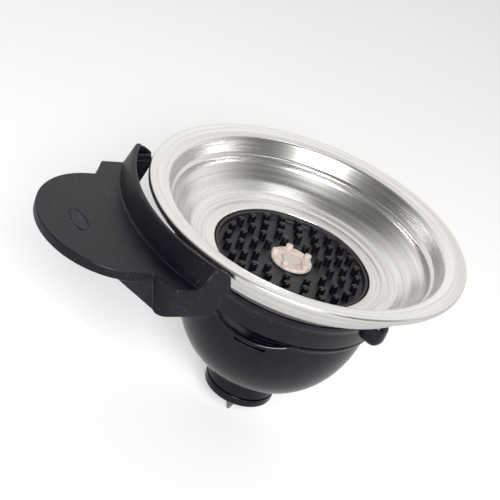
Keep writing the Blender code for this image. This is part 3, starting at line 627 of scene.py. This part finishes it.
def makePlate():
    p = plate
    inner = p["radius"] - p["wall"]
    under = p["top"] - p["thick"]
    profile = fillet([
        (p["hole"], p["top"], 0.2), (inner, p["top"], 0.5), (inner, p["wallTop"], 0.3),
        (p["radius"], p["wallTop"], 0.3), (p["radius"], under, 0.2), (p["hole"], under, 0.2),
    ], 4)
    obj = turned("drain_plate", profile, pieces, plateBlack, 160)
    smooth(obj)
    settle(obj, "holder", "black_plastic", "pin_plate")
    r, h = p["pinRadius"], p["pinHeight"]
    corners = [(0, h, 0), (r * 0.97, h, p["pinRound"]), (r, 0.4, 0.2), (r + 0.1, -0.05, 0.05)]
    shape = fillet(corners, 6, closed=False)
    pins = []
    for radius, count, pitch, start in p["rings"]:
        for k in range(count):
            pin = turned("pin", shape, helpers, pinBlack, 24, closed=False)
            pin.data.transform(Matrix.Translation(Vector(at(radius, start + pitch * k, p["top"])) * mm))
            pins.append(pin)
    obj = joined("drain_pins", pins, pieces)
    smooth(obj, 60.0)
    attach(obj, "holder")


makePlate()
print("plate made")


sieve = {
    "top": -16.0,
    "under": -16.9,
    "radius": 6.2,
    "pegRadius": 1.1,
    "pegHeight": 1.3,
    "pegs": 5,
    "pegStart": 20.0,
    "pegInset": 0.9,
    "pegRound": 0.55,
    "recess": 3.1,
    "recessDepth": 0.55,
    "stem": 4.2,
    "stemEnd": -19.2,
    "jet": 1.0,
}


def makeSieve():
    s = sieve
    shelf = s["top"] - s["recessDepth"]
    profile = fillet([
        (s["jet"], shelf, 0), (s["recess"], shelf, 0.1), (s["recess"], s["top"], 0.25),
        (s["radius"], s["top"], 0.45), (s["radius"], s["under"], 0.2), (s["stem"], s["under"], 0),
        (s["stem"], s["stemEnd"], 0.2), (s["jet"], s["stemEnd"], 0),
    ], 4)
    obj = turned("sieve_ring", profile, pieces, cream, 96)
    pegs = []
    for k in range(s["pegs"]):
        x, y, _ = at(s["radius"] - s["pegInset"], 360.0 / s["pegs"] * k + s["pegStart"])
        pegs.append(rod("peg", s["pegRadius"], (x, y, s["under"] + 0.1), (x, y, s["top"] + s["pegHeight"]),
                        rounding=s["pegRound"], steps=32))
    boolean(obj, "UNION", joined("pegs", pegs))
    smooth(obj, 40.0)
    settle(obj, "sieve", "cream_plastic", "sieve_disc")


makeSieve()
print("sieve made")


body = {
    "collarTop": 31.3,
    "collar": 30.3,
    "bottom": -24.5,
    "wall": 2.0,
    "floorTop": -18.9,
    "floorThick": 1.8,
    "jetHole": 5.6,
    "seatInner": 24.2,
    "seatOuter": 30.7,
    "seatTop": -17.3,
    # the hollow that the bowl fills, as radius and height
    "room": ((0.0, 0.0), (47.5, 0.0), (47.5, -9.85), (38.6, -10.1), (35.7, -13.0), (32.2, -15.7),
             (30.3, -17.55), (0.0, -17.55)),
    "lugAngle": 22.0,  # the two lugs stand opposite each other
    "lugReach": 5.2,
    "lugWidth": 6.0,
    "lugTop": -13.5,
    "lugHeight": 8.0,
    "lugRound": 2.6,
    "neckHalf": 9.5,  # the bar from the collar to the handle
    "neckTop": -15.1,
    "neckHeight": 4.0,
    "neckReach": 51.3,
    "neckStep": 2.3,
    "neckRamp": (33.2, 32.0),
    "neckRoot": 29.9,
}


def makeBody():
    b = body
    inner = b["collar"] - b["wall"]
    floorUnder = b["floorTop"] - b["floorThick"]
    profile = fillet([
        (32.2, -15.45, 0.3), (31.9, -17.05, 0.8), (b["collarTop"], -18.25, 0.9),
        (b["collar"], b["bottom"], 0.3), (inner, b["bottom"], 0.3), (inner, floorUnder, 0.3),
        (b["jetHole"], floorUnder, 0.2), (b["jetHole"], b["floorTop"], 0.2),
        (b["seatInner"], b["floorTop"], 0.2), (b["seatInner"], b["seatTop"], 0.2),
        (b["seatOuter"], b["seatTop"], 0.2), (b["collarTop"], -15.75, 0.2),
    ], 4)
    obj = turned("holder_shell", profile, pieces, bodyBlack, 224)
    room = turned("room", b["room"], helpers, None, 128, closed=False)
    lugs = []
    for k in range(2):
        lug = box("lug", (b["collar"] - 1.2, -b["lugWidth"] / 2, b["lugTop"] - b["lugHeight"]),
                  (b["collarTop"] + b["lugReach"], b["lugWidth"] / 2, b["lugTop"]),
                  turn=b["lugAngle"] + 180.0 * k)
        soften(lug, b["lugRound"], segments=8)
        lugs.append(lug)
    lugs = joined("lugs", lugs)
    boolean(lugs, "DIFFERENCE", room)
    boolean(obj, "UNION", lugs, makeNeck())
    smooth(obj, 30.0)
    settle(obj, "holder", "black_plastic", "holder_body")


def makeNeck():
    b = body
    top, low = b["neckTop"], b["neckTop"] - b["neckHeight"]
    step, front, root = top - b["neckStep"], b["neckReach"], b["neckRoot"]
    high, down = b["neckRamp"]
    side = [(-front, top), (-high, top), (-down, step), (-root, step), (-root, low), (-front, low)]
    neck = turnedUp(extruded("neck", side, -b["neckHalf"], b["neckHalf"]))
    outline = [(0.0, 0.0), (front, 0.0), (front, low - past), (0.0, low - past)]
    limit = turned("limit", outline, helpers, None, cutSteps, closed=False)
    return boolean(neck, "INTERSECT", limit)


makeBody()
print("body made")


handle = {
    "half": 29.2,
    "bottom": -13.7,
    "shelfTop": -5.0,
    "shelfThick": 2.8,
    "tongueHalf": 22.5,  # the thumb rest
    "tongueStart": -60.0,
    "tongueLength": 20.5,
    "flareStart": -57.0,
    "flareEnd": -53.0,
    "nose": 22.2,
    "chinHalf": 21.4,
    "cornerStart": 2.7,
    "cheekFront": -46.3,
    "cheekThick": 1.2,
    "cheekProud": 0.004,  # keeps its face off the bracket's own side
    "cheek": [(-46.5, -5.4), (-44.95, -1.3), (-44.15, 0.7), (-43.5, 1.25), (-41.6, 0.8), (-39.2, -0.7),
              (-37.9, -4.3), (-39.9, -11.6), (-41.0, -13.68), (-46.5, -13.68)],
    "chinFront": -65.7,
    "chinBack": -56.24,
    "wall": 2.0,
    "bossHalf": 9.5,
    "bossBottom": -19.6,
    "guardRadius": 51.6,  # the raised wall beside the rim
    "guardTop": 1.5,
    "guardTip": 1.3,
    "guardFoot": 3.05,
    "markCentre": -69.8,
    "markHalf": (4.7, 2.1),
    "markDepth": 0.3,
    "pegRadius": 1.2,
    "pegX": 27.3,
    "pegZ": -1.9,
    "pegSeat": -44.9,
    "pegReach": 47.8,
    "screwX": 6.0,
    "screwZ": -17.1,
    "screwBore": 1.5,
    "edge": 0.38,
}


def mirrored(right):
    return right + [(-x, y) for x, y in reversed(right)]


def tongueOutline():
    h = handle
    count = 96
    points = []
    for k in range(count + 1):
        t = math.pi + math.pi * k / count
        points.append((h["tongueHalf"] * math.cos(t), h["tongueStart"] + h["tongueLength"] * math.sin(t)))
    back = h["cheekFront"] + 0.6
    right = [(h["tongueHalf"], h["flareStart"]), (h["half"], h["flareEnd"]), (h["half"], back)]
    return points + mirrored(right)


def pocketOutline():
    h = handle
    nose = h["nose"] - h["wall"]
    wide = h["half"] - h["wall"]
    return mirrored([(nose, h["chinBack"] + h["wall"]), (wide, h["flareEnd"] + h["wall"]), (wide, -37.0)])


def drum(name, radius, half, low, high):
    # the handle's side of a round disc, cut off at half on the left and right
    outline = [(0.0, high), (radius, high), (radius, low), (0.0, low)]
    obj = turned(name, outline, helpers, None, cutSteps, closed=False)
    limit = box("limit", (-half, -radius - past, low - past), (half, 0.0, high + past))
    return boolean(obj, "INTERSECT", limit)


def makeBlock():
    # the bracket under the shelf: flared above, drawn in below, its lower corners rounded
    h = handle
    count = 16
    start = Vector((h["half"] - h["cornerStart"], h["chinBack"]))
    pull = Vector((h["half"], h["chinBack"]))
    end = Vector((h["half"], h["flareEnd"]))
    back = (h["half"], h["cheekFront"] + 1.0)
    upper, lower = [], []
    for k in range(count + 1):
        t = k / count
        upper.append(tuple(Vector((h["nose"], h["flareStart"])).lerp(end, t)))
        lower.append(tuple(start * (1 - t) ** 2 + pull * 2 * t * (1 - t) + end * t ** 2))
    under = h["shelfTop"] - h["shelfThick"]
    rows = [[(x, y, h["shelfTop"] - 0.35) for x, y in [*upper, back]]]
    for k in range(5):
        turn = math.pi / 2 * k / 4
        inset = h["edge"] * (1 - math.cos(turn))
        z = h["bottom"] + h["edge"] * (1 - math.sin(turn))
        rows.append([(x - inset, y + inset, z) for x, y in [*lower, back]])
    nose = (h["chinHalf"], h["chinFront"], under)
    verts, faces = [], []
    for side in (1, -1):
        points = [nose, *[point for row in rows for point in row]]
        verts += [(side * x * mm, y * mm, z * mm) for x, y, z in points]
    size = len(rows[0])
    other = len(verts) // 2
    for first in (0, other):
        faces.append([first, first + 1 + size, first + 1])
        for row in range(len(rows) - 1):
            for k in range(size - 1):
                a = first + 1 + row * size + k
                faces.append([a, a + 1, a + 1 + size, a + size])
    faces.append([0, 1 + size, other + 1 + size, other])
    faces.append([0, 1, other + 1, other])
    for row in range(1, len(rows) - 1):
        a = 1 + row * size
        faces.append([a, a + size, other + a + size, other + a])
    for row in (0, len(rows) - 1):
        line = [1 + row * size + k for k in range(size)]
        faces.append(line + [other + k for k in reversed(line)])
    ends = [row * size + size for row in range(len(rows))]
    faces.append(ends + [other + k for k in reversed(ends)])
    return closedMesh("handle_shell", verts, faces, pieces, handleBlack)


def makeGuard():
    h = handle
    r, top, low = h["guardRadius"], h["guardTop"], h["bottom"] + 0.4
    lip, foot = r + h["guardTip"], r + h["guardFoot"]
    profile = fillet([
        (r, top, 0.5), (lip, top, 0.6), (foot - 0.05, h["shelfTop"] + 0.35, 0.5),
        (foot + 0.35, h["shelfTop"] - 0.1, 0), (foot, h["shelfTop"] - 0.6, 0), (foot, low, 0), (r, low, 0),
    ], 5)
    ring = turned("guard", profile, helpers, None, 288)
    half = h["half"] - 0.3
    return boolean(ring, "INTERSECT", box("keep", (-half, -60.0, -30.0), (half, -30.0, 10.0)))


def makeCheek(side):
    # the end plate, drawn from the side
    h = handle
    ends = sorted((side * (h["half"] - h["cheekThick"]), side * (h["half"] + h["cheekProud"])))
    return soften(turnedUp(extruded("cheek", h["cheek"], *ends)), h["edge"], 25.0)


def makeHandle():
    h = handle
    outer = h["guardRadius"] + h["guardFoot"]
    under = h["shelfTop"] - h["shelfThick"]
    obj = makeBlock()
    shelf = soften(extruded("shelf", tongueOutline(), under, h["shelfTop"]), h["edge"], 40.0, 4)
    boss = box("boss", (-h["bossHalf"], -outer, h["bossBottom"]),
               (h["bossHalf"], -h["guardRadius"] + 3.0, -12.0))
    boolean(obj, "UNION", shelf, soften(boss, h["edge"]))
    pocket = extruded("pocket", pocketOutline(), h["bossBottom"] - past, under)
    # the pocket stops short of the ring of wall behind the boss
    keep = outer - 0.6
    outline = [(0.0, under + past), (keep, under + past), (keep, -31.0), (0.0, -31.0)]
    ring = turned("keep", outline, helpers, None, cutSteps, closed=False)
    boolean(obj, "DIFFERENCE", boolean(pocket, "DIFFERENCE", ring))
    behind = drum("behind", h["guardRadius"] + 0.6, h["half"] - h["cheekThick"], h["bossBottom"] - past, 6.5)
    boolean(obj, "DIFFERENCE", behind)
    boolean(obj, "UNION", makeGuard())
    boolean(obj, "UNION", makeCheek(-1), makeCheek(1))
    bores = []
    for side in (-1, 1):
        x = side * h["pegX"]
        bores.append(rod("bore", h["pegRadius"] + 0.1, (x, h["pegSeat"], h["pegZ"]), (x, -33.0, h["pegZ"])))
        x = side * h["screwX"]
        bores.append(rod("bore", h["screwBore"], (x, -70.0, h["screwZ"]), (x, -48.0, h["screwZ"])))
    boolean(obj, "DIFFERENCE", joined("bores", bores), makeMark())
    flatFaces(smooth(obj, 28.0))
    settle(obj, "holder", "black_plastic", "handle")


def makeMark():
    # a plain oval pressed into the thumb rest
    h = handle
    count, around = 64, 10
    wide, tall = h["markHalf"]
    verts, faces = [], []
    for k in range(count):
        t = 2 * math.pi * k / count
        centre = Vector((wide * math.cos(t), h["markCentre"] + tall * math.sin(t), h["shelfTop"]))
        out = Vector((tall * math.cos(t), wide * math.sin(t), 0.0)).normalized()
        for j in range(around):
            s = 2 * math.pi * j / around
            verts.append((centre + (out * math.cos(s) + Vector((0, 0, math.sin(s)))) * h["markDepth"]) * mm)
    for k in range(count):
        for j in range(around):
            n, m = (k + 1) % count, (j + 1) % around
            faces.append([k * around + j, k * around + m, n * around + m, n * around + j])
    return closedMesh("mark", verts, faces)


screw = {"head": 2.3, "thick": 1.6, "shank": 1.2, "length": 9.0, "slotHalf": 0.3, "slotDepth": 0.5}


def makeScrews():
    h, c = handle, screw
    head = -(h["guardRadius"] + h["guardFoot"]) - 0.3
    for side, word in ((-1, "left"), (1, "right")):
        x, z = side * h["screwX"], h["screwZ"]
        front = head - c["thick"]
        obj = rod(f"screw_{word}", c["head"], (x, front, z), (x, head, z), pieces, steel, rounding=0.5)
        shank = rod("shank", c["shank"], (x, head - 0.5, z), (x, head + c["length"], z), rounding=0.3)
        boolean(obj, "UNION", shank)
        slot = box("slot", (x - 3.0, front - 1.0, z - c["slotHalf"]),
                   (x + 3.0, front + c["slotDepth"], z + c["slotHalf"]))
        boolean(obj, "DIFFERENCE", slot)
        smooth(obj, 40.0)
        settle(obj, "holder", "bowl_steel", f"handle_screw_{word}")


def makePegs():
    h = handle
    inner = math.sqrt(h["pegReach"] ** 2 - (h["pegX"] - h["pegRadius"]) ** 2)
    for side, word in ((-1, "left"), (1, "right")):
        x = side * h["pegX"]
        ends = (x, h["pegSeat"], h["pegZ"]), (x, -inner, h["pegZ"])
        peg = rod(f"peg_{word}", h["pegRadius"], *ends, pieces, bodyBlack, rounding=0.3)
        smooth(peg, 40.0)
        settle(peg, "holder", "black_plastic", f"rim_peg_{word}")


makeHandle()
makeScrews()
makePegs()
print("handle made")


dome = {
    "radius": 28.69,
    "height": 32.5,
    "power": 2.29,  # 2 would be round, more is squarer
    "start": -25.0,
    "wall": 1.8,
    "lip": 30.2,
    "lipTop": -24.9,
    "spigot": 26.5,
    "spigotTop": -22.4,
    "spout": 10.7,
    "spoutEnd": -61.3,
    "spoutWall": 1.5,
    "scoopAngle": -43.0,  # where the finger scoop is, round from the right
    "scoopWidth": 24.0,
    "scoopDepth": 3.0,
    "ventWidth": 9.5,
    "ventHeight": 1.8,
    "ventZ": -29.9,
    "beadRadius": 0.75,
    "rows": 48,
    "innerRows": 32,
}


def domeRadius(z, inset=0.0):
    d = dome
    drop = (d["start"] - z) / (d["height"] - inset)
    return (d["radius"] - inset) * (1.0 - drop ** d["power"]) ** (1.0 / d["power"])


def domeLevel(radius, inset=0.0):
    d = dome
    share = (1.0 - (radius / (d["radius"] - inset)) ** d["power"]) ** (1.0 / d["power"])
    return d["start"] - share * (d["height"] - inset)


def domeCurve(start, end, count, inset=0.0):
    points = []
    for k in range(count):
        z = start + (end - start) * math.sin(math.pi / 2 * k / (count - 1))
        points.append((domeRadius(z, inset), z))
    return points


def makeDome():
    d = dome
    shelf = d["lipTop"] - 2.0
    bore = d["spout"] - d["spoutWall"]
    throat = d["spigot"] - 1.9
    outerEnd = domeLevel(d["spout"] + 0.9)
    innerEnd = domeLevel(bore + 0.3, d["wall"])
    top = fillet([
        (throat, shelf, 0.2), (throat, d["spigotTop"], 0.2), (d["spigot"], d["spigotTop"], 0.3),
        (d["spigot"], d["lipTop"], 0.3), (d["lip"], d["lipTop"], 0.5),
        (d["lip"] - 0.2, d["lipTop"] - 1.2, 0.5),
        (*domeCurve(d["lipTop"] - 2.6, outerEnd, d["rows"])[0], 0.3), (domeRadius(-28.0), -28.0, 0),
    ], 5, closed=False)[:-1]
    bottom = fillet([
        (domeRadius(outerEnd + 0.6), outerEnd + 0.6, 0), (d["spout"], outerEnd - 1.0, 1.4),
        (d["spout"], d["spoutEnd"], 0.25), (bore, d["spoutEnd"], 0.25), (bore, innerEnd - 0.8, 0.6),
        (domeRadius(innerEnd + 0.6, d["wall"]), innerEnd + 0.6, 0),
    ], 6, closed=False)[1:]
    outer = domeCurve(d["lipTop"] - 2.9, outerEnd + 0.6, d["rows"])
    inner = domeCurve(shelf - 2.0, innerEnd + 0.6, d["innerRows"], d["wall"])[::-1]
    obj = turned("collector_shell", top + outer + bottom[:-1] + inner, pieces, domeBlack, 224)
    z = d["lipTop"] - d["scoopDepth"]
    radius = ((d["scoopWidth"] / 2) ** 2 + d["scoopDepth"] ** 2) / (2 * d["scoopDepth"])
    scoop = rod("scoop", radius, at(d["spigot"] + 0.5, d["scoopAngle"], z + radius),
                at(d["lip"] + past, d["scoopAngle"], z + radius), steps=cutSteps)
    wide, tall = d["ventWidth"] / 2, d["ventHeight"] / 2
    vent = box("vent", (d["spigot"] - 3.0, -wide, d["ventZ"] - tall),
               (d["lip"] + past, wide, d["ventZ"] + tall), turn=d["scoopAngle"] + 1.0)
    boolean(obj, "DIFFERENCE", scoop, vent)
    boolean(obj, "UNION", makeBead(z + radius, radius))
    smooth(obj, 32.0)
    settle(obj, "collector", "gloss_black", "collector")


def makeBead(centre, radius):
    # the rounded lip that follows the scoop's lower edge
    d = dome
    count, around = 48, 12
    reach = d["lip"] - d["beadRadius"]
    half = d["scoopWidth"] / 2 + 1.0
    path = []
    for k in range(count + 1):
        s = half * (2 * k / count - 1)
        x, y, _ = at(reach, d["scoopAngle"] + math.degrees(math.asin(s / reach)))
        dip = max(centre - math.sqrt(radius ** 2 - s ** 2), centre - radius)
        path.append(Vector((x, y, dip - d["beadRadius"])))
    verts, faces = [], []
    for k, point in enumerate(path):
        ahead = (path[min(k + 1, count)] - path[max(k - 1, 0)]).normalized()
        out = Vector((point.x, point.y, 0.0)).normalized()
        up = ahead.cross(out).normalized()
        thin = d["beadRadius"] * math.sin(math.pi * (0.12 + 0.76 * k / count)) ** 0.5
        for j in range(around):
            t = 2 * math.pi * j / around
            verts.append(tuple((point + (out * math.cos(t) + up * math.sin(t)) * thin) * mm))
    for k in range(count):
        for j in range(around):
            m = (j + 1) % around
            faces.append([k * around + j, k * around + m, (k + 1) * around + m, (k + 1) * around + j])
    faces += [list(range(around)), list(range(count * around, (count + 1) * around))]
    return closedMesh("bead", verts, faces)


sleeve = {"radius": 10.9, "end": -64.2, "bore": 8.0, "wall": 0.9, "shoulder": -61.6, "length": 7.2}


def makeSleeve():
    s = sleeve
    tube = s["bore"] + s["wall"]
    top = s["end"] + s["length"]
    profile = fillet([
        (s["bore"], top, 0.1), (tube, top, 0.1), (tube, s["shoulder"], 0), (s["radius"], s["shoulder"], 0.25),
        (s["radius"], s["end"], 0.5), (s["bore"], s["end"], 0.3),
    ], 5)
    obj = turned("sleeve_shell", profile, pieces, domeBlack, 160)
    smooth(obj)
    settle(obj, "collector", "gloss_black", "spout_sleeve")


tip = {
    "top": -57.7,
    "radius": 1.7,
    "stemEnd": -66.5,
    "bulge": 2.0,
    "bulgeZ": -68.6,
    "taper": -70.6,
    "end": -74.6,
}


def makeTip():
    t = tip
    profile = fillet([
        (0.0, t["top"], 0), (t["radius"], t["top"], 0.3), (t["radius"], t["stemEnd"], 1.0),
        (t["bulge"], t["bulgeZ"], 1.0), (t["radius"], t["taper"], 1.0), (0.4, t["end"] + 0.3, 0.3),
        (0.0, t["end"], 0),
    ], 6, closed=False)
    obj = turned("tip_shell", profile, pieces, tipGrey, 48, closed=False)
    smooth(obj, 50.0)
    settle(obj, "collector", "tip_grey", "drip_tip")


makeDome()
makeSleeve()
makeTip()
print("collector made")


inside = {
    "bowl_gasket": rubber,
    "nozzle_seal": rubber,
    "collector_seal": rubber,
    "sieve_mesh": weave,
    "jet_nozzle": bodyBlack,
    "splash_plate": plateBlack,
    "tip_spider": bodyBlack,
}
for name, finish in inside.items():
    node = frame["nodes"][name]
    node.data.materials.clear()
    node.data.materials.append(finish)
for node in frame["nodes"].values():
    if node.hide_render:
        node.data.materials.clear()
        node.data.materials.append(bodyBlack)
print("inner pieces finished")


light = {
    "floor": -74.7,
    "floorSize": 6.0,  # half its width, in metres
    "floorTone": (0.87, 0.87, 0.865),
    "floorGlow": 0.16,
    "tone": (1.0, 0.995, 0.985, 1.0),
    "mirrored": 0.60,  # how bright the floor looks in reflections
    "behind": 0.98,  # brightness of the room behind the holder
    "front": 0.10,  # and on the camera's side
    "turnLow": -0.25,  # the room darkens between these, from behind to the front
    "turnHigh": 0.60,
    "key": 12.5,
    "keyPlace": (0.16, 0.03, 1.0),
    "keySize": 0.34,
    "side": 0.7,
    "sidePlace": (0.55, 0.75, 0.35),
    "sideSize": 0.30,
}


def makeFloor():
    size = light["floorSize"]
    z = light["floor"] * mm
    mesh = bpy.data.meshes.new("floor")
    corners = [(-size, -size, z), (size, -size, z), (size, size, z), (-size, size, z)]
    mesh.from_pydata(corners, [], [(0, 1, 2, 3)])
    finish = Finish("pale_floor")
    tone = finish.noise(finish.place(), 0.01, 3.0)
    seen = finish.node("ShaderNodeLightPath", out="Is Camera Ray")
    share = light["mirrored"] + seen * (1 - light["mirrored"])
    finish.surface({
        "Base Color": finish.blend(share * (0.97 + tone * 0.03), (0.0, 0.0, 0.0), light["floorTone"]),
        "Roughness": 0.9,
        "Specular IOR Level": 0.1,
        "Emission Color": light["tone"],
        "Emission Strength": light["floorGlow"],
    })
    addMesh("floor", mesh, stageHome, finish.material)


def areaLight(name, place, size, power):
    # placed by how far right, up and toward the camera it is from the bowl, in metres
    acrossAxis, upAxis, back = cameraAxes()
    spot = acrossAxis * place[0] + upAxis * place[1] + back * place[2]
    data = bpy.data.lights.new(name, "AREA")
    data.shape = "SQUARE"
    data.size = size
    data.energy = power
    obj = bpy.data.objects.new(name, data)
    stageHome.objects.link(obj)
    obj.location = spot
    obj.rotation_mode = "QUATERNION"
    obj.rotation_quaternion = spot.to_track_quat("Z", "Y")


def makeWorld():
    world = bpy.data.worlds.new("studio")
    bpy.context.scene.world = world
    world.use_nodes = True
    room = Finish("room", world.node_tree)
    background = world.node_tree.nodes["Background"]
    direction = room.node("ShaderNodeTexCoord", out="Generated")
    toCamera = {0: direction, 1: cameraAxes()[2]}
    facing = room.node("ShaderNodeVectorMath", {"operation": "DOT_PRODUCT"}, toCamera, "Value")
    front = facing.steps(light["turnLow"], light["turnHigh"])
    strength = light["behind"] - front * (light["behind"] - light["front"])
    seen = room.node("ShaderNodeLightPath", out="Is Camera Ray")
    room.feed(background, {"Color": light["tone"], "Strength": strength.maths("MAXIMUM", strength, seen)})


makeFloor()
makeWorld()
areaLight("key", light["keyPlace"], light["keySize"], light["key"])
areaLight("side", light["sidePlace"], light["sideSize"], light["side"])
bpy.context.scene.view_settings.view_transform = "Standard"

# leftovers of the shape work
for obj in list(helpers.objects):
    bpy.data.objects.remove(obj, do_unlink=True)

print("scene ready")
